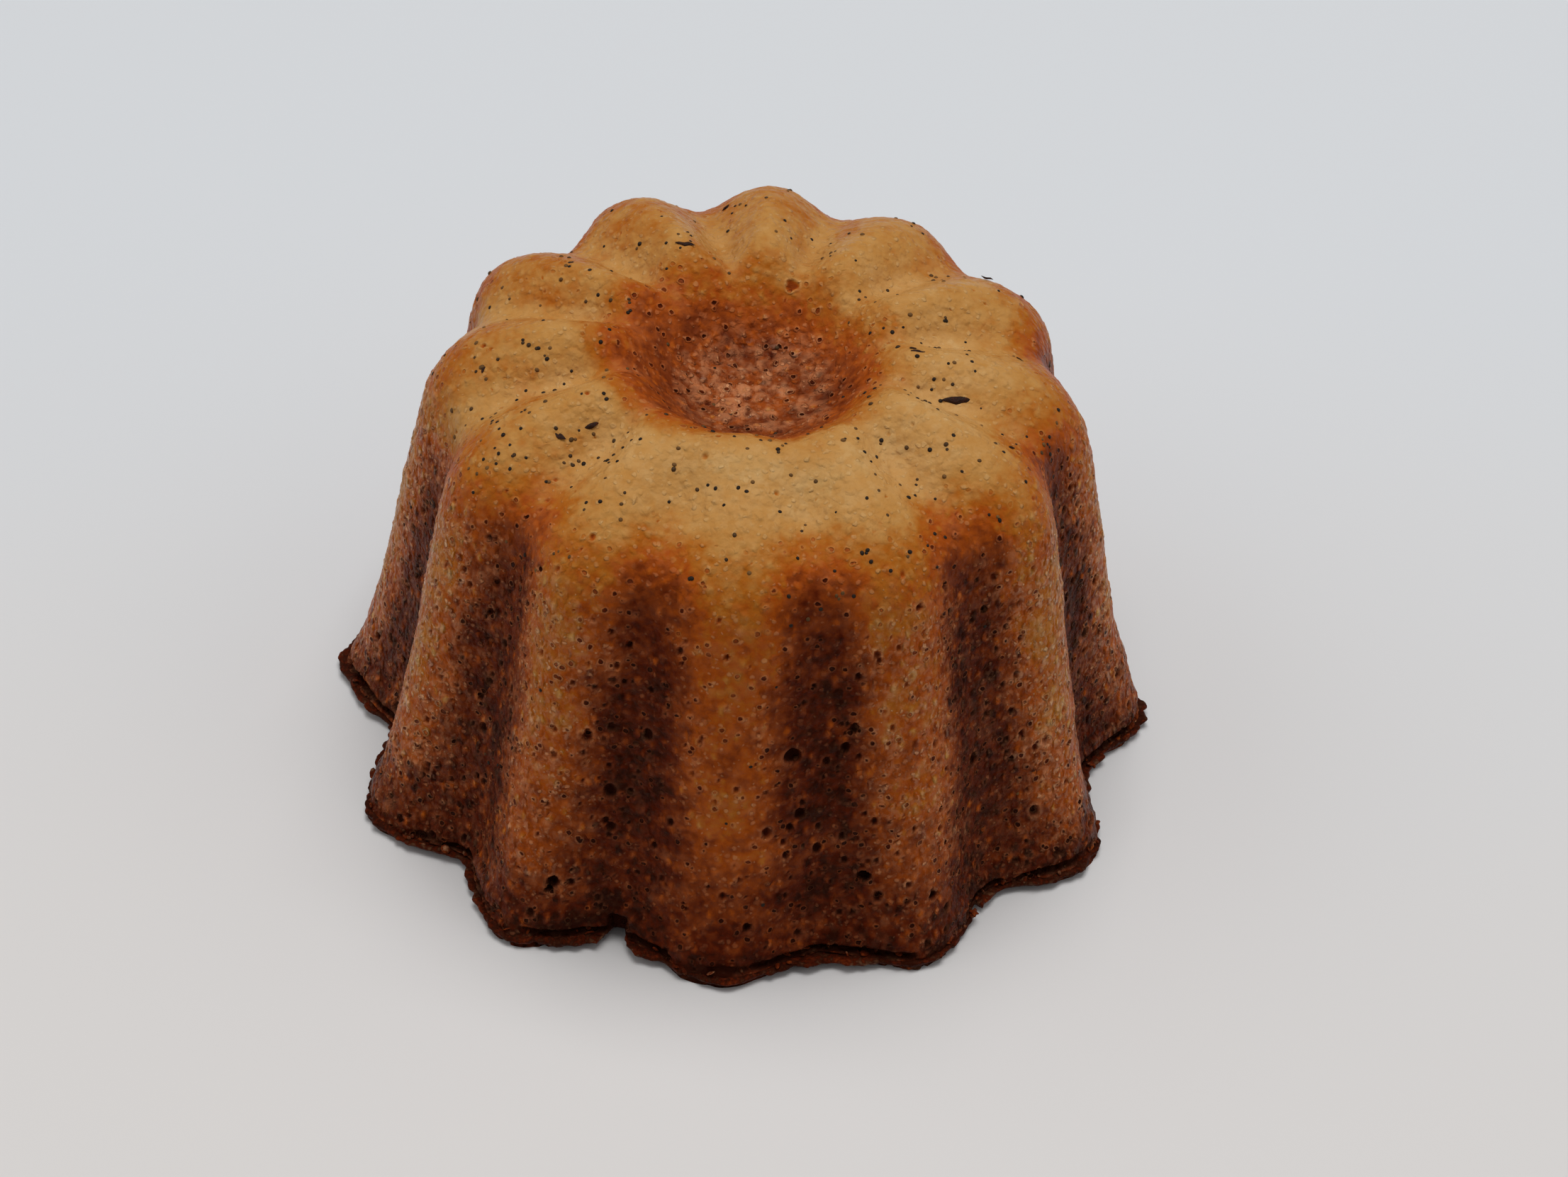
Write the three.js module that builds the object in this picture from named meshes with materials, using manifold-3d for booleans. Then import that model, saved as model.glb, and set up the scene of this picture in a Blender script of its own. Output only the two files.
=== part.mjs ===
// A canele: a small fluted cake of one solid piece, stood on its wide foot.
// Millimetres, +Z up, the origin under the middle of the foot, flute 0 towards -Y.
//
// A crest section and a valley section run from the foot up the wall, over the
// shoulder and down into the dimple at the axis. Twelve flutes swing between the
// two. A thin lip runs round the foot, with a crevice above it and one break.

import * as THREE from "three";
import { mergeVertices } from "three/addons/utils/BufferGeometryUtils.js";
import Module from "manifold-3d";

// Driving dimensions.
const FLUTES = 12;
const FLUTE_0_ANGLE = THREE.MathUtils.degToRad(-90.9);
const AXIS = { x: 0, y: -0.8 };

// The two sections. wall radii are at the foot and the shoulder; flare widens the
// wall's foot and dies away over flareHeight; crown is the dome's height before the
// dimple is taken out; squareness is the power of the shoulder's superellipse.
const CREST = {
  footRadius: 25.3,
  shoulderRadius: 20.8,
  shoulderHeight: 22.6,
  crown: 31,
  flare: 1.3,
  flareHeight: 5,
  squareness: 3.2,
};
const VALLEY = {
  footRadius: 22.9,
  shoulderRadius: 18.4,
  shoulderHeight: 24.8,
  crown: 29.1,
  flare: 0,
  flareHeight: 1,
  squareness: 3.1,
};

// The dimple in the top, the radii between which the valleys fade out towards it,
// and how sharply a flute's back rounds over, low on the wall and on the top.
const DIMPLE = { floor: 26, radius: 7.2, power: 4 };
const VALLEYS_FADE = { from: 11.3, to: 6.3 };
const ROUNDING = { foot: 1.9, top: 1.55, from: 6, to: 30 };

// Each flute as it baked: how far its crest reaches out and up past the section,
// and how far the valley after it is turned, in degrees. Flute 0 first, then
// counter-clockwise seen from above.
const REACH = [-1.4, -0.8, -0.1, 0, -0.1, 0, 0.2, 0.2, 0.6, 0, -0.1, -0.3];
const RISE = [-0.4, 0, 0.1, -0.5, -0.1, 0, 0.2, 0.4, 0, 0.2, 0.1, -0.1];
const TURN = [0, 0.3, 1.3, 0, 0, 0.4, 0, 1.4, -1, 0, 0, -0.9];

// The foot, ring by ring: height, and how far the ring stands out from the wall
// at a crest and at a valley. The fourth and fifth rings are the crevice.
const FOOT_RINGS = [
  { z: 0, crest: 0.1, valley: 1.15 },
  { z: 0.3, crest: 0.35, valley: 1.35 },
  { z: 0.7, crest: 0.2, valley: 1 },
  { z: 0.85, crest: -0.2, valley: -0.1 },
  { z: 1.3, crest: -0.2, valley: -0.15 },
  { z: 2, crest: 0, valley: 0 },
];
const BREAK = { width: 1.2, height: 1.5, from: 22.8, to: 27, flutesRound: -0.5 };

// How finely the faces are laid.
const COLUMNS_PER_FLUTE = 14;
const RINGS_ABOVE_FOOT = 22;

const CRUST = new THREE.MeshStandardMaterial({ color: 0x8a4a1e, roughness: 0.42, metalness: 0 });
CRUST.name = "crust";

function wallRadius(section, z) {
  const taper = (section.shoulderRadius - section.footRadius) / section.shoulderHeight;
  return section.footRadius + taper * z + section.flare * Math.exp(-z / section.flareHeight);
}

// One section as a curve, in radius and height, from the top of the foot's rings to
// the axis: the first part is the wall, the rest is the shoulder, top and dimple.
class SectionCurve extends THREE.Curve {
  static wallShare = 0.45;

  constructor(section) {
    super();
    this.section = section;
  }

  getPoint(t, target = new THREE.Vector2()) {
    const s = this.section;
    const base = FOOT_RINGS.at(-1).z;
    if (t <= SectionCurve.wallShare) {
      const z = base + (s.shoulderHeight - base) * (t / SectionCurve.wallShare);
      return target.set(wallRadius(s, z), z);
    }
    const turned = ((t - SectionCurve.wallShare) / (1 - SectionCurve.wallShare)) * Math.PI / 2;
    const out = Math.pow(Math.max(Math.cos(turned), 0), 2 / s.squareness);
    const up = Math.pow(Math.sin(turned), 2 / s.squareness);
    const rise = s.crown - s.shoulderHeight;
    const taper = (s.shoulderRadius - s.footRadius) / s.shoulderHeight;
    const edge = wallRadius(s, s.shoulderHeight);
    const radius = out * (edge + taper * rise * up);
    const sunk = (s.crown - DIMPLE.floor) * Math.exp(-Math.pow(radius / DIMPLE.radius, DIMPLE.power));
    return target.set(radius, s.shoulderHeight + rise * up - sunk);
  }
}

// Both sections as matching lists of rings, lowest first, the last one the axis.
function sectionRings(section, side) {
  const foot = FOOT_RINGS.slice(0, -1).map(
    (ring) => new THREE.Vector2(wallRadius(section, ring.z) + ring[side], ring.z),
  );
  return [...foot, ...new SectionCurve(section).getSpacedPoints(RINGS_ABOVE_FOOT)];
}

// The angle of the valley that follows a flute.
function valleyAngle(flute) {
  const pitch = (2 * Math.PI) / FLUTES;
  const turn = TURN[(flute + FLUTES) % FLUTES];
  return FLUTE_0_ANGLE + (flute + 0.5) * pitch + THREE.MathUtils.degToRad(turn);
}

// How much of a valley's depth is left at a radius of the crest section: all of it on
// the wall and shoulder, none of it in the dimple.
function valleyShare(radius) {
  return THREE.MathUtils.smoothstep(radius, VALLEYS_FADE.to, VALLEYS_FADE.from);
}

// A point of the skin, between the valley before a flute (across = 0) and the
// valley after it (across = 1).
function skinPoint(crest, valley, flute, across) {
  const angle = THREE.MathUtils.lerp(valleyAngle(flute - 1), valleyAngle(flute), across);
  const rounding = THREE.MathUtils.mapLinear(
    THREE.MathUtils.clamp(crest.y, ROUNDING.from, ROUNDING.to),
    ROUNDING.from,
    ROUNDING.to,
    ROUNDING.foot,
    ROUNDING.top,
  );
  const swell = Math.pow(Math.sin(Math.PI * across), rounding);
  const towardsCrest = 1 - (1 - swell) * valleyShare(crest.x);
  const radius = THREE.MathUtils.lerp(valley.x, crest.x, towardsCrest);
  const height = THREE.MathUtils.lerp(valley.y, crest.y, towardsCrest);
  const reach = REACH[flute] * swell * (radius / CREST.footRadius);
  const rise = RISE[flute] * swell * (height / CREST.crown) * valleyShare(crest.x);
  return [
    AXIS.x + (radius + reach) * Math.cos(angle),
    AXIS.y + (radius + reach) * Math.sin(angle),
    height + rise,
  ];
}

// The whole skin as one closed mesh: a fan under the foot, the rings, and a fan
// that closes the dimple at the axis.
function fluted() {
  const crest = sectionRings(CREST, "crest");
  const valley = sectionRings(VALLEY, "valley");
  const rings = crest.length - 1;
  const columns = FLUTES * COLUMNS_PER_FLUTE;
  const positions = [];
  for (let ring = 0; ring < rings; ring++) {
    for (let column = 0; column < columns; column++) {
      const flute = Math.floor(column / COLUMNS_PER_FLUTE);
      const across = (column % COLUMNS_PER_FLUTE) / COLUMNS_PER_FLUTE;
      positions.push(...skinPoint(crest[ring], valley[ring], flute, across));
    }
  }
  const under = rings * columns;
  const top = under + 1;
  positions.push(AXIS.x, AXIS.y, 0);
  positions.push(AXIS.x, AXIS.y, DIMPLE.floor);

  const faces = [];
  for (let column = 0; column < columns; column++) {
    const next = (column + 1) % columns;
    faces.push(under, next, column);
    for (let ring = 0; ring < rings - 1; ring++) {
      const low = ring * columns;
      const high = low + columns;
      faces.push(low + column, low + next, high + next);
      faces.push(low + column, high + next, high + column);
    }
    const last = (rings - 1) * columns;
    faces.push(last + column, last + next, top);
  }
  const geometry = new THREE.BufferGeometry();
  geometry.setAttribute("position", new THREE.Float32BufferAttribute(positions, 3));
  geometry.setIndex(faces);
  return geometry;
}

// The piece that is missing from the lip, in the valley before flute 0.
function lipBreak() {
  const geometry = new THREE.BoxGeometry(BREAK.to - BREAK.from, BREAK.width, 2 * BREAK.height);
  geometry.translate((BREAK.from + BREAK.to) / 2, 0, 0);
  geometry.rotateZ(FLUTE_0_ANGLE + (BREAK.flutesRound * 2 * Math.PI) / FLUTES);
  geometry.translate(AXIS.x, AXIS.y, 0);
  return geometry;
}

const wasm = await Module();
wasm.setup();

function toSolid(geometry) {
  geometry.deleteAttribute("normal");
  geometry.deleteAttribute("uv");
  const merged = mergeVertices(geometry);
  return new wasm.Manifold(
    new wasm.Mesh({
      numProp: 3,
      vertProperties: merged.attributes.position.array,
      triVerts: Uint32Array.from(merged.index.array),
    }),
  );
}

function toGeometry(solid) {
  const mesh = solid.getMesh();
  const geometry = new THREE.BufferGeometry();
  geometry.setAttribute("position", new THREE.BufferAttribute(mesh.vertProperties, 3));
  geometry.setIndex(new THREE.BufferAttribute(mesh.triVerts, 1));
  geometry.computeVertexNormals();
  return geometry;
}

const cake = new THREE.Mesh(toGeometry(toSolid(fluted()).subtract(toSolid(lipBreak()))), CRUST);
cake.name = "cake";

const group = new THREE.Group();
group.add(cake);

export default group;
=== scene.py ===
"""A canele: its caramelised crust, ragged lip, vanilla seeds and pod flecks, on a pale studio floor.

The crust is one skin, worked out as a whole and cut into rings of faces. Its shape is the
same function as the solid's: a crest section and a valley section, and twelve flutes that
swing between them. Relief, browning and pores are fields over that skin.
Everything is in metres, +Z up, with flute 0 towards -Y.
"""

from functools import lru_cache
from math import cos, pi, radians, sin

import bpy
import numpy as np
from bpy.props import FloatProperty, FloatVectorProperty, IntProperty, PointerProperty
from bpy.types import Operator, Panel, PropertyGroup
from mathutils import Matrix, Vector


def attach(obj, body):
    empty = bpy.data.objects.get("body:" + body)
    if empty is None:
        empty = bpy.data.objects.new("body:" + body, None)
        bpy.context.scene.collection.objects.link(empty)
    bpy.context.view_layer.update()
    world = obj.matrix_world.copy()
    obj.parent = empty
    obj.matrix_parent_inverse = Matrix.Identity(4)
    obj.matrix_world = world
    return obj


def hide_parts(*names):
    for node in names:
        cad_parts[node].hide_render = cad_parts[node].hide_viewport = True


bl_info = {
    "name": "Canele",
    "version": (1, 0, 0),
    "blender": (4, 5, 0),
    "location": "View3D > Sidebar > Canele",
    "description": "A small fluted cake with a caramelised crust, vanilla seeds and a studio stage",
    "category": "Mesh",
}

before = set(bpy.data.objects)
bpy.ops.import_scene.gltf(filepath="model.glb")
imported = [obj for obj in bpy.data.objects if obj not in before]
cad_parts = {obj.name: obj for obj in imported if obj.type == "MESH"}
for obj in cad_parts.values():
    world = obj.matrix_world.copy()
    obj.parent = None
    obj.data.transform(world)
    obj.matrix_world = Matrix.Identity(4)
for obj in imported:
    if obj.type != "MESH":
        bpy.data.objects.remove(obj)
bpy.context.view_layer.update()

MM = 0.001

# The flutes, as in the solid: how far each crest reaches out past the section at one radius
# and up past it at one height, and how far the groove after it is turned.
FLUTES = 12
PITCH = 2 * pi / FLUTES
FLUTE_0_ANGLE = radians(-90.9)
AXIS = np.array([0.0, -0.8 * MM, 0.0])
REACH = MM * np.array([-1.4, -0.8, -0.1, 0, -0.1, 0, 0.2, 0.2, 0.6, 0, -0.1, -0.3])
REACH_AT_RADIUS = 25.3 * MM
RISE = MM * np.array([-0.4, 0, 0.1, -0.5, -0.1, 0, 0.2, 0.4, 0, 0.2, 0.1, -0.1])
RISE_AT_HEIGHT = 31 * MM
TURN = np.radians([0, 0.3, 1.3, 0, 0, 0.4, 0, 1.4, -1, 0, 0, -0.9])

# The power that rounds a flute's back, at the foot and on the top, and the heights between
# which it changes; how soft a groove's bottom is; and how much sooner the grooves run out
# on the front of the top.
ROUNDING_FOOT = 1.9
ROUNDING_TOP = 1.55
ROUNDING_FROM = 6 * MM
ROUNDING_TO = 30 * MM
GROOVE_SOFTNESS = 0.13
SHORTER_IN_FRONT = 3.4 * MM

# The skin's rows: a foot from just above the table, then even steps to the axis. The section
# is sampled more finely first. Nothing is lower than LOWEST.
COLUMNS = 960
LOWEST = 0.012 * MM
FOOT_START = 0.02 * MM
FOOT_TOP = 2 * MM
FOOT_ROWS = 18
SECTION_ROWS = 398
WALL_SAMPLES = 1500
TURN_SAMPLES = 4000
CREVICE_HEIGHT = MM * np.array([0, 0.85, 1.3, 2])
CREVICE_DEPTH = MM * np.array([0.2, 0.28, 0.2, 0])

# The first and last rows of each piece that the skin is cut into. The last piece has the rest.
RINGS = {"lower_wall": (0, 98), "upper_wall": (98, 184), "shoulder": (184, 272), "crown": (272, 334)}
LAST_RING = "dimple"

# The gap in the lip and the nick in it: their angles round the axis, their widths, and how
# far they cut the lip back. The gap is measured out at one radius.
GAP = radians(-107.4)
GAP_RADIUS = 23 * MM
GAP_WIDTH = 1.2 * MM
GAP_BACK = 0.75 * MM
NICK = radians(-49.5)
NICK_WIDTH = 0.7 * MM
NICK_BACK = 0.9 * MM

# Browning from 0, pale custard, to 1, charred, against the distance along the section
# from the table in millimetres.
CREST_BAKE = ((0, 1.0), (2, 0.93), (5, 0.79), (8, 0.69), (12, 0.60), (18, 0.575), (23, 0.545), (26, 0.49),
              (29, 0.42), (31, 0.31), (34, 0.15), (38, 0.08), (39.5, 0.15), (41, 0.31), (42.5, 0.52),
              (44, 0.68), (47, 0.77), (54, 0.70))
VALLEY_BAKE = ((0, 1.0), (3, 0.93), (8, 0.90), (14, 0.95), (18, 0.95), (22, 0.91), (26, 0.86), (28.5, 0.79),
               (30, 0.66), (31.5, 0.48), (33, 0.28), (35, 0.14), (38, 0.09), (39.5, 0.14), (41, 0.29),
               (42.5, 0.50), (44, 0.67), (47, 0.77), (54, 0.70))

# Open bubbles: degrees round the axis, distance from it, height, radius and depth, in mm.
HOLES = (
    (-80.5, 20.3, 15.7, 0.55, 0.5), (-72, 20.5, 15.8, 0.32, 0.35), (-69, 22.5, 6.5, 0.42, 0.9),
    (-116.5, 24.1, 4.8, 0.42, 0.8), (-117, 24.1, 4.2, 0.3, 0.7), (-86, 25, 4.4, 0.28, 0.4),
    (-58, 19.5, 25, 0.3, 0.3), (76, 7.5, 29, 0.4, 0.2), (-79, 21.5, 11.5, 0.4, 0.4),
    (-60, 22, 4, 0.3, 0.5), (-130, 23, 3, 0.4, 0.6), (40, 22, 12, 0.45, 0.5), (150, 21, 9, 0.5, 0.6),
)


def lengths(name, description, default):
    """A length in metres that a user may change."""
    return FloatProperty(name=name, description=description, default=default, unit="LENGTH", precision=5)


def factors(name, description, default):
    """A plain number from 0 up that a user may change."""
    return FloatProperty(name=name, description=description, default=default, min=0)


def watts(name, description, default):
    """The power of a lamp."""
    return FloatProperty(name=name, description=description, default=default, min=0, unit="POWER")


def angles(name, description, degrees):
    """An angle that a user may change, given here in degrees."""
    return FloatProperty(name=name, description=description, default=radians(degrees), subtype="ANGLE")


def colours(name, description, default):
    """A colour that a user may change."""
    return FloatVectorProperty(
        name=name, description=description, default=default, size=3, min=0, max=1, subtype="COLOR"
    )


class CaneleCrest(PropertyGroup):
    """The section through the back of a flute."""

    foot_radius: lengths("Foot radius", "Wall radius at the table, before the flare", 25.3 * MM)
    shoulder_radius: lengths("Shoulder radius", "Wall radius at the shoulder", 20.8 * MM)
    shoulder_height: lengths("Shoulder height", "Height at which the wall turns over", 22.6 * MM)
    crown: lengths("Crown", "Height of the dome before the dimple is sunk", 31 * MM)
    flare: lengths("Flare", "How far the foot of the wall spreads", 1.3 * MM)
    flare_height: lengths("Flare height", "Height over which the flare dies away", 5 * MM)
    squareness: factors("Squareness", "Power of the shoulder's superellipse", 3.2)


class CaneleValley(PropertyGroup):
    """The section through the groove between two flutes."""

    foot_radius: lengths("Foot radius", "Wall radius at the table, before the flare", 22.9 * MM)
    shoulder_radius: lengths("Shoulder radius", "Wall radius at the shoulder", 18.4 * MM)
    shoulder_height: lengths("Shoulder height", "Height at which the wall turns over", 24.8 * MM)
    crown: lengths("Crown", "Height of the dome before the dimple is sunk", 29.1 * MM)
    flare: lengths("Flare", "How far the foot of the wall spreads", 0)
    flare_height: lengths("Flare height", "Height over which the flare dies away", 1 * MM)
    squareness: factors("Squareness", "Power of the shoulder's superellipse", 3.1)


class CaneleDimple(PropertyGroup):
    """The bowl in the top, and where the flutes' grooves run out into it."""

    floor: lengths("Floor", "Height of the bowl's floor", 26 * MM)
    radius: lengths("Radius", "Radius at which the bowl is sunk by a third", 7.2 * MM)
    power: factors("Power", "How sharply the bowl's sides fall", 4)
    grooves_from: lengths("Grooves from", "Radius outside which grooves are full", 11.3 * MM)
    grooves_to: lengths("Grooves to", "Radius inside which there are no grooves", 6.3 * MM)


class CaneleRelief(PropertyGroup):
    """The crust's small relief."""

    lumps: lengths("Lumps", "Height of the broad unevenness", 0.2 * MM)
    ripples: lengths("Ripples", "Height of the finer unevenness", 0.07 * MM)
    bubbles: lengths("Bubbles", "Height of the low round bubbles", 0.06 * MM)
    floor_bubbles: lengths("Floor bubbles", "Height of the bubbles in the dimple", 0.2 * MM)
    pores: lengths("Pores", "Radius of the largest common pores", 0.4 * MM)
    crinkle: lengths("Crinkle", "Height of the foot's crinkled edge", 0.16 * MM)
    spread: lengths("Spread", "How far the foot of a groove spreads towards the lip", 0.6 * MM)


class CaneleColours(PropertyGroup):
    """The crust's colours, from unbaked custard to char."""

    custard: colours("Custard", "Palest part of the top", (0.56, 0.325, 0.115))
    straw: colours("Straw", "Most of the top", (0.565, 0.29, 0.087))
    gold: colours("Gold", "Edges of the top", (0.515, 0.237, 0.057))
    amber: colours("Amber", "Shoulders and lightest ridges", (0.43, 0.128, 0.0125))
    brown: colours("Brown", "Ridges of the wall", (0.385, 0.073, 0.006))
    russet: colours("Russet", "Sides of the grooves", (0.215, 0.038, 0.006))
    maroon: colours("Maroon", "Bottoms of the grooves", (0.095, 0.012, 0.003))
    char: colours("Char", "Foot and crevice", (0.030, 0.005, 0.002))
    seed: colours("Seed", "Vanilla seeds", (0.012, 0.010, 0.009))
    pod: colours("Pod", "Flecks of vanilla pod", (0.030, 0.013, 0.008))
    # Cream and the bloom colour below also serve for the painted glints, painted highlights and painted flank
    # sheen over the crust.
    cream: colours("Cream", "Pale flecks on the top", (0.70, 0.46, 0.21))
    bloom: colours("Bloom", "Dull pale flecks in the browned crust", (0.70, 0.325, 0.155))


class CaneleSeeds(PropertyGroup):
    """How many seeds and flecks there are, and their size."""

    seeds: IntProperty(name="Seeds", description="Seeds strewn over the crust", default=330, min=1)
    seed_radius: lengths("Seed radius", "Mean radius of a seed", 0.128 * MM)
    flakes: IntProperty(name="Flakes", description="Crust flakes on the lip", default=150, min=1)
    draw: IntProperty(name="Draw", description="Seed of the random draws", default=7, min=0)


class CaneleStage(PropertyGroup):
    """The floor, the light and the camera."""

    floor_size: lengths("Floor size", "Side of the floor", 4)
    floor_colour: colours("Floor colour", "Colour of the floor", (0.80, 0.80, 0.80))
    world_colour: colours("World colour", "Colour of the light from all round", (0.97, 0.985, 1.0))
    world_light: factors("World light", "Strength of the light from all round", 0.17)
    lamp_size: lengths("Lamp size", "Side of the soft lamp", 0.45)
    lamp_distance: lengths("Lamp distance", "Distance of the lamp from the cake", 0.7)
    lamp_power: watts("Lamp power", "Power of the soft lamp in watts", 3.0)
    side_lamp_size: lengths("Side lamp size", "Side of the wide lamps at the sides", 1.2)
    side_lamp_distance: lengths("Side lamp distance", "Distance of the wide lamps from the cake", 1)
    left_lamp_power: watts("Left lamp power", "Power of the wide lamp on the left in watts", 2.4)
    right_lamp_power: watts("Right lamp power", "Power of the wide lamp on the right in watts", 1.8)
    lens: FloatProperty(name="Lens", description="Focal length of the camera in mm", default=78.5, min=1)
    camera_distance: lengths("Camera distance", "Distance of the camera from its target", 0.219)
    camera_elevation: angles("Camera elevation", "Height of the camera above the horizon", 43.93)
    camera_roll: angles("Camera roll", "Turn of the camera about its own line of sight", 3.04)


# Noise. Every field of it has a draw of its own, a whole number.


def scrambled(cell, draw):
    """A whole number of 32 random bits for each cell index: the three indices are multiplied
    by large odd numbers and mixed with the draw by exclusive or and shifts."""
    cell = cell.astype(np.uint32)
    mixed = cell[..., 0] * np.uint32(73856093)
    mixed ^= cell[..., 1] * np.uint32(19349663)
    mixed ^= cell[..., 2] * np.uint32(83492791)
    mixed ^= np.uint32((draw * 2654435761 + 12345) % 2**32)
    for _ in range(2):
        mixed = (mixed ^ (mixed >> np.uint32(16))) * np.uint32(0x45D9F3B)
    return mixed ^ (mixed >> np.uint32(16))


def noise(points, size, draw):
    """Smooth random values from -1 to 1: random values at the corners of cubes of this size,
    blended with weights 3t^2 - 2t^3 along each edge."""
    at = points / size + 0.37 * draw
    low = np.floor(at)
    part = at - low
    part = part * part * (3 - 2 * part)
    low = low.astype(np.int64)
    total = np.zeros(points.shape[:-1])
    for corner in np.ndindex(2, 2, 2):
        weight = np.prod(np.where(corner, part, 1 - part), axis=-1)
        total += weight * (scrambled(low + corner, draw) / 2**32)
    return total * 2 - 1


def strewn(points, size, draw):
    """One random spot in each cube of this size: for each point the distance to the nearest
    spot and to the second nearest, and the nearest spot's own number from 0 to 1."""
    at = points / size
    low = np.floor(at).astype(np.int64)
    nearest = np.full(points.shape[:-1], np.inf)
    second = nearest.copy()
    number = np.zeros(points.shape[:-1], np.uint32)
    for step in np.ndindex(3, 3, 3):
        cell = low + step - 1
        bits = scrambled(cell, draw)
        spot = np.stack([bits & 1023, (bits >> 10) & 1023, (bits >> 20) & 1023], axis=-1) / 1024.0
        gap = np.sqrt(np.sum((cell + spot - at) ** 2, axis=-1))
        closer = gap < nearest
        second = np.where(closer, nearest, np.minimum(second, gap))
        nearest = np.where(closer, gap, nearest)
        number = np.where(closer, bits, number)
    number = ((number * np.uint32(0x9E3779B1)) >> np.uint32(12)) / 2**20
    return nearest * size, second * size, number


def smoothstep(value, low, high):
    """0 below low, 1 above high, and 3t^2 - 2t^3 between; high may be the smaller."""
    part = np.clip((value - low) / (high - low), 0, 1)
    return part * part * (3 - 2 * part)


def beyond(path, start, end):
    """0 before start and 1 past end along the section, both in millimetres from the table; or
    1 before end and 0 past start, where end is the smaller."""
    return smoothstep(path, start * MM, end * MM)


def mix(low, high, part):
    """low where part is 0 and high where it is 1."""
    return low + (high - low) * part


# The skin.


def wall_radius(sizes, height):
    """The wall's radius: a straight taper, and a flare that dies away upwards."""
    taper = (sizes["shoulder_radius"] - sizes["foot_radius"]) / sizes["shoulder_height"]
    return sizes["foot_radius"] + taper * height + sizes["flare"] * np.exp(-height / sizes["flare_height"])


def section(sizes, dimple, rows):
    """Radius, height and distance from the table of one section, one value a row.

    The wall goes straight up to the shoulder. From there radius is cos^(2/n) and height
    sin^(2/n) of a quarter turn, less a bowl of depth exp(-(r / R)^power) at the axis. The
    foot's rows are even in height and the others even along the curve."""
    height = np.linspace(FOOT_TOP, sizes["shoulder_height"], WALL_SAMPLES)
    turned = np.linspace(0, pi / 2, TURN_SAMPLES)[1:]
    out = np.maximum(np.cos(turned), 0) ** (2 / sizes["squareness"])
    up = np.sin(turned) ** (2 / sizes["squareness"])
    climb = sizes["crown"] - sizes["shoulder_height"]
    taper = (sizes["shoulder_radius"] - sizes["foot_radius"]) / sizes["shoulder_height"]
    over = out * (wall_radius(sizes, sizes["shoulder_height"]) + taper * climb * up)
    sunk = (sizes["crown"] - dimple["floor"]) * np.exp(-((over / dimple["radius"]) ** dimple["power"]))
    curve_r = np.concatenate([wall_radius(sizes, height), over])
    curve_z = np.concatenate([height, sizes["shoulder_height"] + climb * up - sunk])
    length = np.concatenate([[0], np.cumsum(np.hypot(np.diff(curve_r), np.diff(curve_z)))])

    foot_z = np.linspace(FOOT_START, FOOT_TOP, FOOT_ROWS, endpoint=False)
    foot_r = wall_radius(sizes, foot_z) - np.interp(foot_z, CREVICE_HEIGHT, CREVICE_DEPTH)
    even = np.linspace(0, length[-1], rows)
    radius = np.concatenate([foot_r, np.interp(even, length, curve_r)])
    z = np.concatenate([foot_z, np.interp(even, length, curve_z)])
    path = np.concatenate([foot_z, FOOT_TOP + even])
    return radius, z, path


def valley_angle(flute):
    """The angle of the groove that follows a flute."""
    return FLUTE_0_ANGLE + (flute + 0.5) * PITCH + TURN[flute % FLUTES]


def bare_skin(crest, valley, dimple):
    """The smooth skin over the flutes, as rows of columns: points, how far each is from
    groove (0) to crest (1), distance from the table along the crest, and angle.

    Between two grooves the swell is sin(pi t)^k, softened near the groove, with k falling up
    the wall. A point is the groove's and the crest's mixed by the swell, and the grooves fade
    out towards the dimple, sooner in front."""
    crest_r, crest_z, path = section(crest, dimple, SECTION_ROWS)
    valley_r, valley_z, _ = section(valley, dimple, SECTION_ROWS)
    crest_r, crest_z, path = crest_r[:, None], crest_z[:, None], path[:, None]
    valley_r, valley_z = valley_r[:, None], valley_z[:, None]
    round_flutes = np.arange(COLUMNS) * FLUTES / COLUMNS
    flute = np.floor(round_flutes).astype(int)
    across = round_flutes - flute
    angle = mix(valley_angle(flute - 1), valley_angle(flute), across)[None]

    rise = (np.clip(crest_z, ROUNDING_FROM, ROUNDING_TO) - ROUNDING_FROM) / (ROUNDING_TO - ROUNDING_FROM)
    rounding = mix(ROUNDING_FOOT, ROUNDING_TOP, rise)
    swell = np.hypot(np.sin(pi * across)[None], GROOVE_SOFTNESS) ** rounding - GROOVE_SOFTNESS**rounding
    ended = crest_r - SHORTER_IN_FRONT * frontness(angle) ** 6
    share = smoothstep(ended, dimple["grooves_to"], dimple["grooves_from"])
    to_crest = 1 - (1 - swell) * share
    radius = mix(valley_r, crest_r, to_crest)
    height = mix(valley_z, crest_z, to_crest)
    radius = radius + REACH[flute] * swell * radius / REACH_AT_RADIUS
    height = height + RISE[flute] * swell * height / RISE_AT_HEIGHT * share
    points = AXIS + np.stack([radius * np.cos(angle), radius * np.sin(angle), height], axis=-1)
    shape = height.shape
    return points, np.broadcast_to(swell, shape), np.broadcast_to(path, shape), np.broadcast_to(angle, shape)


def outward(points):
    """Unit normals of rows that close round: the step round crossed with the step up."""
    round_step = np.roll(points, -1, axis=1) - np.roll(points, 1, axis=1)
    up_step = np.gradient(points, axis=0)
    normal = np.cross(round_step, up_step)
    return normal / (np.linalg.norm(normal, axis=-1, keepdims=True) + 1e-15)


def spot_at(points, degrees, radius, height):
    """Row and column of the point nearest a place given round the axis, out from it and up."""
    angle = radians(degrees)
    target = AXIS + np.array([radius * cos(angle), radius * sin(angle), height])
    gap = np.sum((points - target) ** 2, axis=-1)
    return np.unravel_index(np.argmin(gap), gap.shape)


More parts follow.
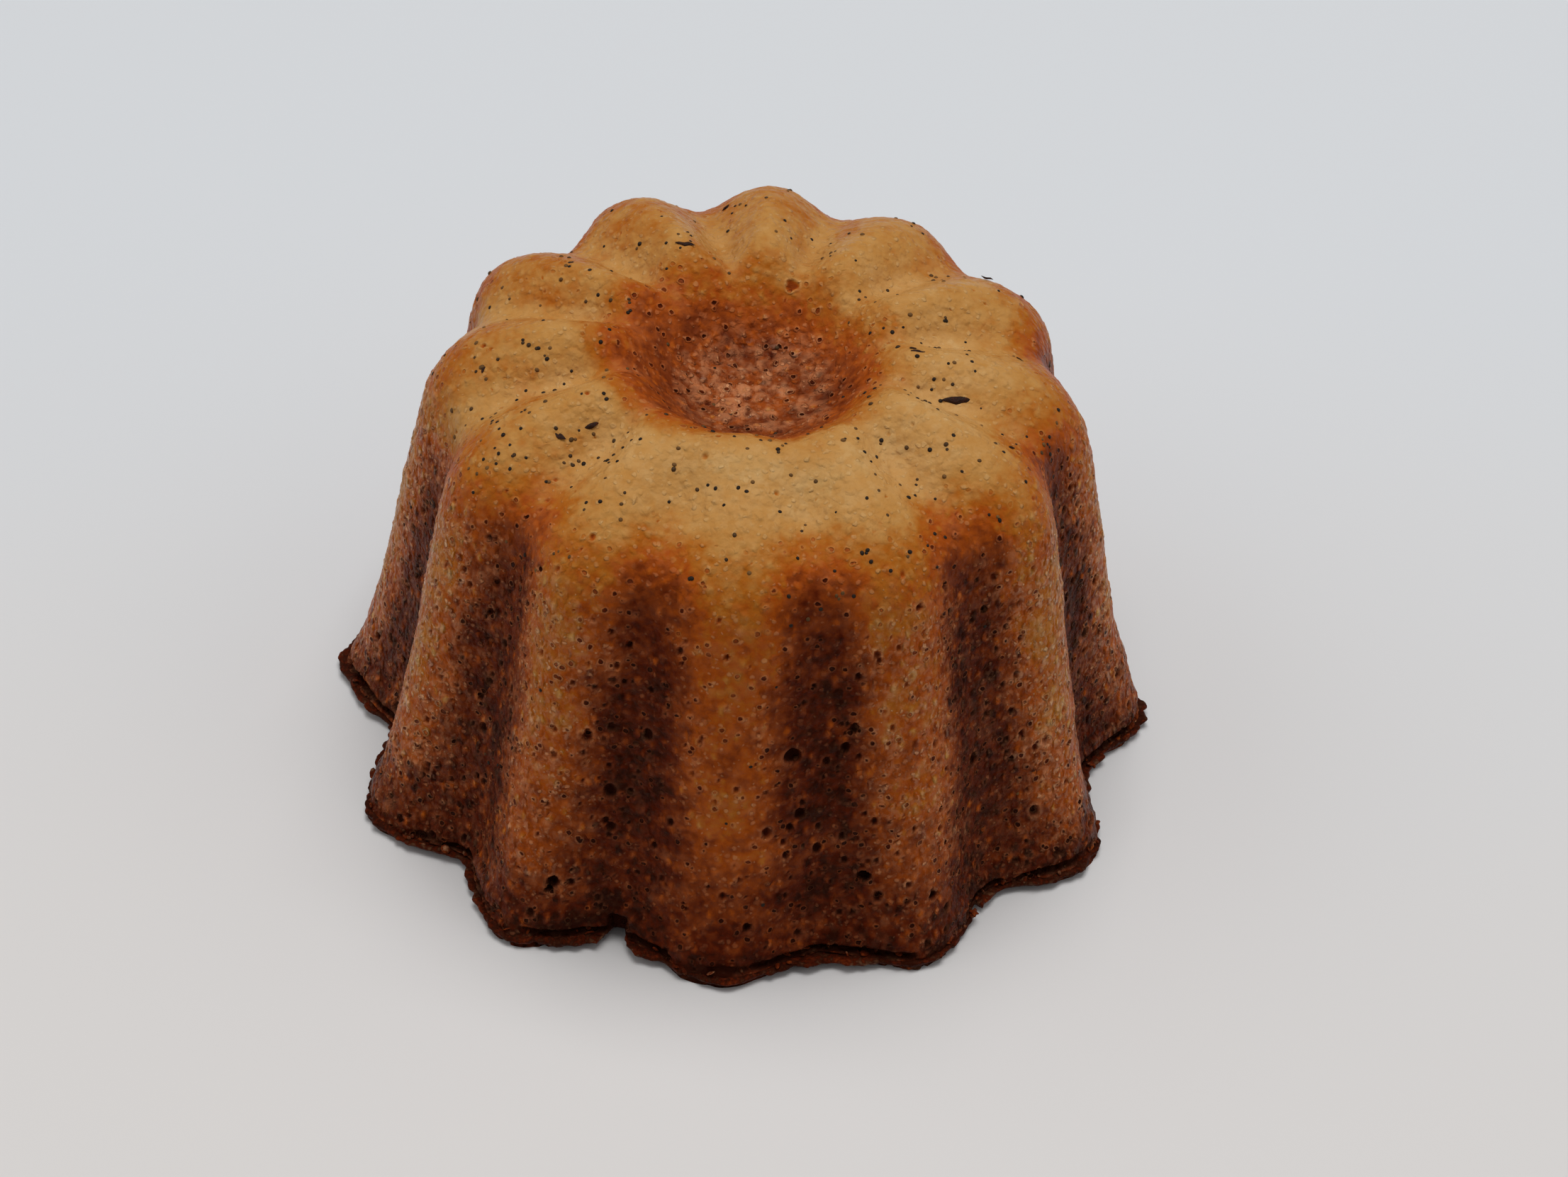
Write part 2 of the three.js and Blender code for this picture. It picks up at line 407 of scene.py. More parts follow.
def frontness(angle):
    """1 on the side where flute 0 is and 0 behind."""
    return 0.5 + 0.5 * np.cos(angle - FLUTE_0_ANGLE)


def away_from(place, angle):
    """The angle between a place and each of these, the short way round."""
    return np.abs(np.angle(np.exp(1j * (angle - place))))


def browning(points, swell, path, angle):
    """How far the crust is baked, from 0 to 1: one curve along the crest and one along the
    groove, mixed by the swell, and blotches of three sizes. Noise moves the curves along the
    section and the stripes' edges sideways, and the stripes end sooner on the left and behind.
    Both flanks are paler, as painted sheen and side light. The middle of the dimple is paler
    too, partly a paler crust and partly painted sheen, most behind; the top is browner on the
    left and behind."""
    left = 0.5 - 0.5 * np.cos(angle)
    far_left, far_right = left**4, (1 - left) ** 4
    behind = 1 - frontness(angle)
    wall = beyond(path, 30, 24)
    bowl = beyond(path, 42, 45)

    path_mm = path / MM + 0.5 * noise(points, 5 * MM, 11) + 0.5 * noise(points, 1.5 * MM, 12)
    path_mm = path_mm + smoothstep(path_mm, 35, 38.5) * (1.9 + 1.2 * left**2 - 1.6 * behind)
    sooner = 5 * left**8 * smoothstep(path_mm, 34, 27) + 1.5 * behind * smoothstep(path_mm, 34, 30)
    crest = np.interp(path_mm, *zip(*CREST_BAKE))
    valley = np.interp(path_mm + sooner, *zip(*VALLEY_BAKE))
    edge = swell + 0.08 * noise(points, 2.5 * MM, 13) + 0.07 * noise(points, 0.8 * MM, 17) - 0.1 * far_left
    bake = mix(valley, crest, smoothstep(edge, 0.03, 0.94))

    bake += (0.03 + 0.05 * wall * swell) * noise(points, 3.2 * MM, 14)
    bake += (0.055 + 0.025 * wall + 0.02 * bowl) * noise(points, 1.2 * MM, 15)
    bake += (0.04 + 0.015 * wall + 0.01 * bowl) * noise(points, 0.5 * MM, 16)

    # Painted light: the flutes at the far left and right, crest and groove, are made paler for the sheen and
    # side light on them.
    bake -= beyond(path, 28, 20) * swell**3 * (0.19 * far_left + 0.19 * far_right - 0.02)
    bake -= wall * (1 - swell) * (0.06 * far_left + 0.03 * far_right)
    bake += 0.05 * (beyond(path, 25, 28) * beyond(path, 35, 30)) * swell * behind
    top = beyond(path, 30.5, 34.5) * beyond(path, 42, 39)
    paler_groove = smoothstep(swell, 0.3, 0) * beyond(path, 38, 35)
    bake += (0.08 * left**2 + 0.17 * behind) * top * (1 - 0.55 * paler_groove)
    # The dimple's floor is paler, most behind: partly a paler crust, partly painted sheen.
    return bake - 0.11 * beyond(path, 45.5, 49) * (0.5 + 0.5 * behind)


def domes(points, size, softness, fewest, most, draw):
    """Low round bubbles this far apart: 1 inside a cell, falling to 0 at its walls, in the
    cells whose own number is past fewest, and in full past most."""
    nearest, second, number = strewn(points, size, draw)
    return smoothstep(second - nearest, 0, softness) * smoothstep(number, fewest, most)


def pores(points, size, largest, draw, share):
    """Open pores: in a share of the cubes of this size one ball is dug out, its radius from
    0.35 of the largest up. Gives the depth, how far inside (0 to 1), and the rim."""
    gap, _, number = strewn(points, size, draw)
    radius = largest * mix(0.35, 1, ((number * 7.31) % 1) ** 2)
    chosen = smoothstep(share - number, 0, 0.06)
    inside = np.clip(1 - (gap / radius) ** 2, 0, 1) * chosen
    rim = np.exp(-(((gap / radius - 1.2) / 0.25) ** 2)) * chosen
    return radius * inside**0.7 * 0.9, inside, rim


def all_pores(points, largest, density, wall):
    """Pores of three sizes, of which the small ones lie thickest. Where two meet, the deeper
    one counts."""
    tall = points * np.array([1, 1, 0.72])
    depth, inside, rim = pores(tall, 1.3 * MM, largest, 21, 0.75 * density)
    small_depth, small_inside, small_rim = pores(tall, 0.72 * MM, 0.25 * MM, 22, 1.05 * density - 0.05)
    large_depth, large_inside, large_rim = pores(points, 4.5 * MM, 0.5 * MM, 23, 0.25 * wall)
    return (
        np.maximum.reduce([depth, small_depth, 0.8 * large_depth]),
        np.maximum.reduce([inside, 0.8 * small_inside, large_inside]),
        np.maximum.reduce([rim, small_rim, large_rim]),
    )


def placed_holes(points):
    """The open bubbles of HOLES: a ball with a wavering edge is dug out at each place. Gives
    the depth, how far inside (0 to 1), and the rim."""
    depth, pit, rims = np.zeros((3, *points.shape[:-1]))
    wavering = 0.12 * MM * noise(points, 0.5 * MM, 24)[..., None]
    for degrees, out, up, radius, deep in HOLES:
        row, column = spot_at(points, degrees, out * MM, up * MM)
        away = np.linalg.norm(points - points[row, column] + wavering, axis=-1) / (radius * MM)
        inside = np.clip(1 - away**2, 0, 1)
        depth = np.maximum(depth, deep * MM * inside**0.6)
        pit = np.maximum(pit, np.minimum(1.5 * inside, 1))
        rims = np.maximum(rims, np.exp(-(((away - 1.2) / 0.2) ** 2)))
    return depth, pit, rims


def torn_foot(points, path, groove, angle):
    """The broken crevice above the lip, a band in height, and the gap torn through it. Gives
    the depth, how far inside (0 to 1), and no rim."""
    under = np.exp(-(((points[..., 2] / MM - 1.06) / 0.27) ** 4)) * (path < 3 * MM)
    under = under * smoothstep(noise(points, 2.2 * MM, 25) + 0.75 * groove, 0, 0.5)
    aside = away_from(GAP, angle) * GAP_RADIUS + 0.2 * MM * noise(points, 0.6 * MM, 26)
    torn = smoothstep(aside, 0.62 * GAP_WIDTH, 0.3 * GAP_WIDTH) * beyond(path, 2.5, 1.8)
    return np.maximum(0.6 * MM * under, 0.9 * MM * torn), np.maximum(under, torn), np.zeros(path.shape)


@lru_cache(maxsize=1)
def finished_skin(crest, valley, dimple, relief):
    """The skin with its relief: points, normals, browning, pits, pale spots, grit, and the smooth
    skin's swell, path and angle. The arguments are tuples of names and values.

    Relief is added along the smooth normal: lumps, ripples, low bubbles, creases beside the
    dimple, upright streaks on the wall, the crinkled foot that spreads towards the lip, and
    less the pores, holes and crevice. Pale spots lie on bubbles, rims and creases and in
    strokes in the dimple: partly paler crust and partly painted highlights."""
    relief = dict(relief)
    points, swell, path, angle = bare_skin(dict(crest), dict(valley), dict(dimple))
    normal = outward(points)
    wall = beyond(path, 29, 23)
    foot = beyond(path, 4.5, 0.5)
    bowl = beyond(path, 42.5, 46)
    groove = 1 - swell
    front = frontness(angle)
    sideways = np.abs(np.sin(angle - FLUTE_0_ANGLE))
    upright = points * np.array([1, 1, 0.14])

    height = relief["lumps"] * noise(points, 7 * MM, 1) * (1 - 0.6 * bowl)
    height = height + relief["ripples"] * noise(points, 2.6 * MM, 2)
    height += 0.016 * MM * noise(points, 0.9 * MM, 3)
    height += 0.010 * MM * noise(points, 0.42 * MM, 4)
    dome = domes(points, 1.15 * MM, 0.5 * MM, 0.25, 0.6, 5)
    height += mix(relief["bubbles"] * mix(0.6, 1, wall), relief["floor_bubbles"], bowl) * dome
    fine_dome = domes(points, 0.62 * MM, 0.3 * MM, 0.3, 0.7, 6)
    height += mix(0.035 * MM, 0.06 * MM, bowl) * fine_dome
    creases = beyond(path, 28, 33) * beyond(path, 43, 40.5) * smoothstep(swell, 0.45, 0.0) * (1 - front**6)
    height -= 0.09 * MM * creases
    height += 0.05 * MM * wall * noise(upright, 0.75 * MM, 7) * mix(0.5, 1, groove)
    height += relief["crinkle"] * foot * (noise(points, 1.3 * MM, 8) + 0.5 * noise(points, 0.6 * MM, 9))
    height += relief["spread"] * mix(0.3, 1, groove) * (beyond(path, 3.4, 0.5) * beyond(path, 0.2, 0.8))

    density = 0.16 + (0.45 + 0.25 * sideways) * wall + 0.2 * foot + 0.15 * wall * groove
    pits = (
        all_pores(points, relief["pores"], density, wall),
        placed_holes(points),
        torn_foot(points, path, groove, angle),
    )
    depth, pit, rims = [np.maximum.reduce(parts) for parts in zip(*pits)]
    height += 0.045 * MM * rims - depth
    skin = points + normal * height[..., None]
    skin[..., 2] = np.maximum(skin[..., 2], LOWEST)

    # This scales the small relief and grows on the flanks, where in the crust's colour it also scales painted
    # glints and a painted sheen.
    grit = mix(mix(0.8, mix(1.0, 2.8, sideways), wall), 2.0, bowl)
    # Painted highlights: pale strokes in the dimple, and pale creases that are brightest in front.
    strokes = bowl * smoothstep(noise(points, 0.55 * MM, 27), 0.1, 0.6)
    broken = smoothstep(noise(upright, 0.8 * MM, 28), -0.6, 0.3)
    pale = 0.7 * dome * (0.25 + bowl) + 0.5 * fine_dome * (0.3 + 0.3 * bowl) + 0.6 * rims + 0.8 * strokes
    pale += 0.8 * creases * broken * (0.3 + 0.7 * front) + 0.05 * beyond(path, 40, 43)
    return {
        "points": skin, "normal": outward(skin), "bake": browning(points, swell, path, angle),
        "pit": pit, "pale": np.clip(pale, 0, 1), "grit": grit,
        "swell": swell, "path": path, "angle": angle,
    }


def current_skin():
    """The finished skin for the sizes now set in the scene."""
    groups = bpy.context.scene
    chosen = (groups.canele_crest, groups.canele_valley, groups.canele_dimple, groups.canele_relief)
    return finished_skin(*[
        tuple((name, getattr(group, name)) for name in group.__annotations__) for group in chosen
    ])


# Meshes.


def mesh_piece(name, points, faces, values, material, normals=None):
    """A piece made of points and blocks of faces, with one number a point in each named
    attribute."""
    mesh = bpy.data.meshes.new(name)
    corners = [block.size for block in faces]
    mesh.vertices.add(len(points))
    mesh.vertices.foreach_set("co", points.astype(np.float32).ravel())
    mesh.loops.add(sum(corners))
    corner_points = np.concatenate([block.ravel() for block in faces])
    mesh.loops.foreach_set("vertex_index", corner_points.astype(np.int32))
    starts = [
        start + np.arange(len(block)) * block.shape[1]
        for block, start in zip(faces, np.cumsum([0] + corners[:-1]))
    ]
    mesh.polygons.add(sum(len(block) for block in faces))
    mesh.polygons.foreach_set("loop_start", np.concatenate(starts).astype(np.int32))
    mesh.update(calc_edges=True)
    mesh.validate()
    mesh.shade_smooth()
    for attribute, numbers in values.items():
        layer = mesh.attributes.new(attribute, "FLOAT", "POINT")
        layer.data.foreach_set("value", np.asarray(numbers, np.float32).ravel())
    if normals is not None:
        mesh.normals_split_custom_set_from_vertices(normals.astype(np.float32))
    mesh.materials.append(material)
    piece = bpy.data.objects.new(name, mesh)
    bpy.context.scene.collection.objects.link(piece)
    return piece


def ring_faces(rows, columns):
    """The faces between rows of columns that close round, seen from outside."""
    index = np.arange(rows * columns).reshape(rows, columns)
    after = np.roll(index, -1, axis=1)
    return np.stack([index[:-1], after[:-1], after[1:], index[1:]], axis=-1).reshape(-1, 4)


def fan_faces(first, columns, pole):
    """The faces from a ring that starts at index first to a pole."""
    index = first + np.arange(columns)
    return np.stack([index, np.roll(index, -1), np.full(columns, pole)], axis=-1)


def belongs(piece, stands_for_cake):
    """Fixes a piece to the cake's body, and hides the solid's cake where the piece stands for it."""
    if stands_for_cake:
        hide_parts("cake")
    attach(piece, "root")


# Materials.


class Value:
    """One output of a node, on which + - and * add Math nodes."""

    def __init__(self, nodes, socket):
        self.nodes = nodes
        self.socket = socket

    def maths(self, operation, first, second):
        return self.nodes.add("ShaderNodeMath", {"operation": operation}, {0: first, 1: second})

    def __add__(self, other):
        return self.maths("ADD", self, other)

    def __radd__(self, other):
        return self.maths("ADD", other, self)

    def __sub__(self, other):
        return self.maths("SUBTRACT", self, other)

    def __rsub__(self, other):
        return self.maths("SUBTRACT", other, self)

    def __mul__(self, other):
        return self.maths("MULTIPLY", self, other)

    def __rmul__(self, other):
        return self.maths("MULTIPLY", other, self)

    def at_least(self, other):
        return self.maths("MAXIMUM", self, other)


class Nodes:
    """The node tree of one new material."""

    def __init__(self, name):
        self.material = bpy.data.materials.new(name)
        self.material.use_nodes = True
        self.tree = self.material.node_tree
        self.tree.nodes.clear()

    def add(self, kind, settings=None, inputs=None, output=0):
        """Adds a node: its settings first, then the numbers or links of its sockets. Gives
        the output with this name or place."""
        node = self.tree.nodes.new(kind)
        for name, setting in (settings or {}).items():
            if name == "stops":
                self.set_stops(node.color_ramp, setting)
            else:
                setattr(node, name, setting)
        for name, given in (inputs or {}).items():
            if isinstance(given, Value):
                self.tree.links.new(given.socket, node.inputs[name])
            else:
                node.inputs[name].default_value = given
        return Value(self, node.outputs[output]) if node.outputs else None

    @staticmethod
    def set_stops(ramp, stops):
        """Gives a ramp these places and colours."""
        while len(ramp.elements) < len(stops):
            ramp.elements.new(1)
        for element, (place, colour) in zip(ramp.elements, stops):
            element.position = place
            element.color = (*colour, 1)

    def attribute(self, name):
        """The number that a mesh holds for each point under this name."""
        return self.add("ShaderNodeAttribute", {"attribute_name": name}, output=2)

    def place(self):
        """The place on the cake, in metres."""
        return self.add("ShaderNodeTexCoord", output=3)

    def stretched(self, place, upwards):
        """The place with its height multiplied, so that features there are taller or flatter."""
        factors = {0: place, 1: (1, 1, upwards)}
        return self.add("ShaderNodeVectorMath", {"operation": "MULTIPLY"}, factors)

    def drifted(self, place, size, reach):
        """The place moved about by noise of this size, so that round features turn irregular."""
        drift = self.add("ShaderNodeTexNoise", None, {"Vector": place, "Scale": 1 / size}, output=1)
        terms = {0: drift, 1: (reach, reach, reach), 2: place}
        return self.add("ShaderNodeVectorMath", {"operation": "MULTIPLY_ADD"}, terms)

    def clouds(self, place, size, detail):
        """Noise about 0, from about -1 to 1, with features of this size."""
        scale = {"Vector": place, "Scale": 1 / size, "Detail": detail}
        return self.add("ShaderNodeTexNoise", None, scale) * 4 - 2

    def spots(self, place, size):
        """Spots this far apart: the distance to the nearest, and a random colour of its own
        that serves as its number."""
        scale = {"Vector": place, "Scale": 1 / size}
        distance = self.add("ShaderNodeTexVoronoi", None, scale, output="Distance")
        return distance, Value(self, distance.socket.node.outputs["Color"])

    def specks(self, place, size, rim, core, fewest, most):
        """Specks this far apart: 1 inside the core and 0 outside the rim, both larger where a
        speck's number is low. Specks with numbers under fewest are left out."""
        gap, number = self.spots(place, size)
        return self.step(gap + 0.2 * number, rim, core) * self.step(number, fewest, most)

    def step(self, value, low, high):
        """0 below low and 1 above high, smoothly."""
        limits = {"Value": value, "From Min": low, "From Max": high}
        return self.add("ShaderNodeMapRange", {"interpolation_type": "SMOOTHSTEP"}, limits)

    def blend(self, first, second, factor):
        """The first colour where factor is 0 and the second where it is 1."""
        return self.add("ShaderNodeMix", {"data_type": "RGBA"}, {0: factor, 6: first, 7: second}, output=2)

    def bump(self, height, distance):
        """The normal, tilted by a height that is counted in this distance."""
        return self.add("ShaderNodeBump", None, {"Height": height, "Distance": distance})

    def finish(self, **sockets):
        """The surface itself, with these sockets, and the material's output."""
        named = {name.replace("_", " "): given for name, given in sockets.items()}
        surface = self.add("ShaderNodeBsdfPrincipled", None, named)
        self.add("ShaderNodeOutputMaterial", None, {"Surface": surface})
        return self.material


def solid(colour):
    """A colour with full alpha, for a socket."""
    return (*colour, 1)


def crust_ramp(nodes, bake, palette):
    """The crust's colour at this browning."""
    names = ("custard", "straw", "gold", "amber", "brown", "russet", "maroon", "char")
    places = (0, 0.14, 0.28, 0.42, 0.57, 0.72, 0.87, 1)
    stops = [(place, getattr(palette, name)) for place, name in zip(places, names)]
    return nodes.add("ShaderNodeValToRGB", {"stops": stops}, {"Fac": bake})


def crust_material(palette):
    """Caramelised crust, made once. Its colour comes from a ramp on the browning, which small
    cells and noise shift, and which pits and pinpricks darken as painted shade. Dull pale
    flecks lie over it with painted glints and painted highlights, and on the flanks a painted
    sheen of fine sparkle, which also has a glaze. The bump's heights are in millimetres."""
    if "caramelised_crust" in bpy.data.materials:
        return bpy.data.materials["caramelised_crust"]
    nodes = Nodes("caramelised_crust")
    place = nodes.drifted(nodes.place(), 0.45 * MM, 0.3 * MM)
    upright = nodes.stretched(place, 0.62)
    bake, pit, pale, grit = [nodes.attribute(name) for name in ("bake", "pit", "pale", "grit")]
    browned = nodes.step(bake, 0.25, 0.6)

    cell_gap, cell_number = nodes.spots(upright, 0.6 * MM)
    cell = nodes.step(cell_gap, 0.56, 0.05)
    tone = (cell_number - 0.5) * cell
    fleck = nodes.specks(place, 0.58 * MM, 0.46, 0.28, 0.38, 0.6)
    # Painted glints: small bright specks in the colour.
    glint = nodes.specks(place, 0.4 * MM, 0.42, 0.26, 0.5, 0.65)
    prick_gap, prick_number = nodes.spots(place, 0.75 * MM)
    chosen = nodes.step(prick_number, 0.40, 0.48) * (0.08 + 0.92 * browned)
    prick = nodes.step(prick_gap, 0.22, 0.13) * chosen
    halo = nodes.step(prick_gap, 0.40, 0.24) * chosen

    mottle = 0.04 * nodes.clouds(place, 1.3 * MM, 2) + 0.06 * nodes.clouds(place, 0.5 * MM, 2)
    shade = bake + mottle * (0.6 + 0.8 * browned) + 0.26 * tone * grit * (0.4 + browned)
    # Cells and flecks lighten the colour; the pale spots and the rims round pinpricks lighten it as painted
    # highlights.
    shade = shade - (0.05 * cell + 0.06 * fleck + 0.05 * pale + 0.05 * halo) * (0.35 + 0.65 * browned)
    # Painted shade: the colour is darker inside pores, holes, the crevice and the pinpricks.
    colour = crust_ramp(nodes, shade + 0.38 * pit + 0.3 * prick, palette)

    paleness = 1.0 - 0.85 * nodes.step(bake, 0.5, 0.95)
    whole = (1.0 - pit) * (1.0 - prick)
    sideways = ((grit - 1.0) * 0.6).at_least(0.05)
    # Painted sheen: a fine sparkle on the flanks lightens the colour; it also sets the coat's real gloss.
    sparkle = nodes.step(nodes.clouds(upright, 0.27 * MM, 2), 0.05, 0.45) * (0.4 + 0.6 * cell)
    bloom = (0.33 * fleck + 0.33 * glint + 0.3 * pale + 0.16 * halo) * grit + 0.55 * sparkle * sideways
    cloudy = nodes.step(nodes.clouds(place, 0.9 * MM, 2), 0.0, 0.3) * (1.0 - nodes.step(bake, 0.08, 0.35))
    bloom = bloom * paleness * whole + 0.18 * cloudy
    fleck_and_sheen_colour = nodes.blend(solid(palette.cream), solid(palette.bloom), browned)
    glaze = 0.75 * sparkle * sideways * whole * paleness * paleness

    grain = 0.006 * nodes.clouds(place, 0.15 * MM, 1) + 0.028 * nodes.clouds(upright, 0.4 * MM, 1)
    height = grain + 0.085 * cell + 0.055 * fleck + 0.03 * glint - 0.17 * prick + 0.06 * halo
    return nodes.finish(
        Base_Color=nodes.blend(colour, fleck_and_sheen_colour, bloom),
        Roughness=0.32 + 0.05 * nodes.clouds(place, 0.7 * MM, 2) + 0.3 * pit,
        Normal=nodes.bump(height * grit, MM),
        Specular_IOR_Level=0.04, Specular_Tint=(1, 0.5, 0.3, 1),
        Coat_Weight=glaze, Coat_Roughness=0.18, Coat_IOR=1.5,
    )


def lip_material(palette):
    """The lip, made once: redder, duller crust, flaky, and lighter along its torn edge as a painted
    highlight.
    """
    if "lip" in bpy.data.materials:
        return bpy.data.materials["lip"]
    nodes = Nodes("lip")
    place = nodes.place()
    edge = nodes.attribute("edge")
    mottle = 0.06 * nodes.clouds(place, 0.9 * MM, 3) + 0.07 * nodes.clouds(place, 0.25 * MM, 2)
    colour = crust_ramp(nodes, 1.0 - 0.2 * edge + 1.6 * mottle, palette)
    colour = nodes.blend(colour, solid(palette.bloom), 0.5 * edge * nodes.step(mottle, 0.0, 0.1))
    flaky = nodes.clouds(place, 0.35 * MM, 3)
    return nodes.finish(
        Base_Color=colour, Roughness=0.5 + 0.06 * flaky, Normal=nodes.bump(flaky, 0.05 * MM),
        Specular_IOR_Level=0.1, Specular_Tint=(1, 0.4, 0.2, 1),
    )


def seed_material(palette):
    """Vanilla seeds: black and oily, some seen through a film of custard."""
    nodes = Nodes("vanilla_seed")
    veil = nodes.attribute("veil")
    film = nodes.blend(solid(palette.seed), solid(palette.gold), veil)
    grain = nodes.clouds(nodes.place(), 0.06 * MM, 1)
    return nodes.finish(
        Base_Color=film, Roughness=0.5 + 0.08 * grain, Normal=nodes.bump(grain, 0.006 * MM),
        Specular_IOR_Level=0.12,
    )


def pod_material(palette):
    """Vanilla pod: near black, fibrous along its length."""
    nodes = Nodes("vanilla_pod")
    fibres = nodes.clouds(nodes.place(), 0.12 * MM, 3)
    colour = nodes.blend(solid(palette.pod), solid(palette.maroon), nodes.step(fibres, 0, 1.4))
    return nodes.finish(
        Base_Color=colour, Roughness=0.5 + 0.1 * fibres, Normal=nodes.bump(fibres, 0.02 * MM),
        Specular_IOR_Level=0.1,
    )


def floor_material(colour):
    """A matt pale floor with the faintest unevenness, warmer in front and cooler behind as painted warm and
    cool light.
    """
    nodes = Nodes("floor")
    faint = nodes.clouds(nodes.place(), 60 * MM, 2)
    back = nodes.add("ShaderNodeSeparateXYZ", None, {"Vector": nodes.place()}, output=1)
    warmer = tuple(part * tint for part, tint in zip(colour, (1.0, 0.965, 0.94)))
    cooler = tuple(part * tint for part, tint in zip(colour, (0.955, 0.98, 1.01)))
    shade = nodes.blend(solid(warmer), solid(cooler), nodes.step(back + 0.01 * faint, -0.05, 0.06))
    return nodes.finish(Base_Color=shade, Roughness=0.7 + 0.02 * faint, Specular_IOR_Level=0.2)


# Pieces.


class CANELE_OT_skin(Operator):
    """Make the crust from the table to the middle of the dimple, in five rings"""

    bl_idname = "canele.skin"
    bl_label = "Crust"

    def execute(self, context):
        skin = current_skin()
        material = crust_material(context.scene.canele_colours)
        values = ("bake", "pit", "pale", "grit")
        for name, (first, last) in RINGS.items():
            rows = slice(first, last + 1)
            count = last + 1 - first
            piece = mesh_piece(
                name, skin["points"][rows].reshape(-1, 3), [ring_faces(count, COLUMNS)],
                {value: skin[value][rows] for value in values}, material,
                skin["normal"][rows].reshape(-1, 3),
            )
            belongs(piece, True)

        rows = slice(max(last for _, last in RINGS.values()), -1)
        ring = skin["points"][rows]
        pole = ring[-1].mean(axis=0, keepdims=True)
        count = len(ring)
        points = np.concatenate([ring.reshape(-1, 3), pole])
        normals = np.concatenate([skin["normal"][rows].reshape(-1, 3), [[0, 0, 1]]])
        ends = {value: np.append(skin[value][rows], skin[value][-2].mean()) for value in values}
        faces = [ring_faces(count, COLUMNS), fan_faces((count - 1) * COLUMNS, COLUMNS, len(points) - 1)]
        belongs(mesh_piece(LAST_RING, points, faces, ends, material, normals), True)
        return {"FINISHED"}


class CANELE_OT_underside(Operator):
    """Make the browned bottom, which hollows a little inside the foot"""

    bl_idname = "canele.underside"
    bl_label = "Underside"

    rows = 92
    hollow_depth = 0.45 * MM
    unevenness = 0.12 * MM
    cell_depth = 0.06 * MM
    largest_pore = 0.7 * MM

    def execute(self, context):
        rim = current_skin()["points"][0]
        part = np.linspace(0, 1, self.rows, endpoint=False)[:, None, None]
        points = mix(rim, np.array([AXIS[0], AXIS[1], FOOT_START]), part)
        inward = np.linalg.norm(points - rim, axis=-1)
        hollow = self.hollow_depth * smoothstep(inward, 0.3 * MM, 6 * MM)
        hollow = hollow * (0.7 + 0.4 * noise(points, 9 * MM, 31))
        hollow = hollow + self.unevenness * noise(points, 2.2 * MM, 32)
        nearest, second, _ = strewn(points, 1.6 * MM, 33)
        cells = smoothstep(second - nearest, 0, 0.5 * MM)
        depth, inside, rims = pores(points, 1.9 * MM, self.largest_pore, 34, 0.6)
        away = smoothstep(inward, 0.05 * MM, 0.8 * MM)
        points[..., 2] += away * (hollow - self.cell_depth * cells + 0.7 * depth)
        points[..., 2] = np.maximum(points[..., 2], LOWEST)

        bake = 0.80 + 0.10 * noise(points, 4 * MM, 35) + 0.07 * noise(points, 1.2 * MM, 36)
        bake = bake - 0.06 * cells + 0.1 * smoothstep(inward, 3 * MM, 0)
        flat = np.concatenate([points.reshape(-1, 3), points[-1].mean(axis=0, keepdims=True)])
        values = {
            "bake": np.append(bake, bake[-1].mean()),
            "pit": np.append(inside * away, 0),
            "pale": np.append(0.4 * rims * away, 0),
            "grit": np.ones(len(flat)),
        }
        last_row = (self.rows - 1) * COLUMNS
        faces = [ring_faces(self.rows, COLUMNS), fan_faces(last_row, COLUMNS, len(flat) - 1)]
        piece = mesh_piece("underside", flat, faces, values, crust_material(context.scene.canele_colours))
        belongs(piece, True)
        return {"FINISHED"}


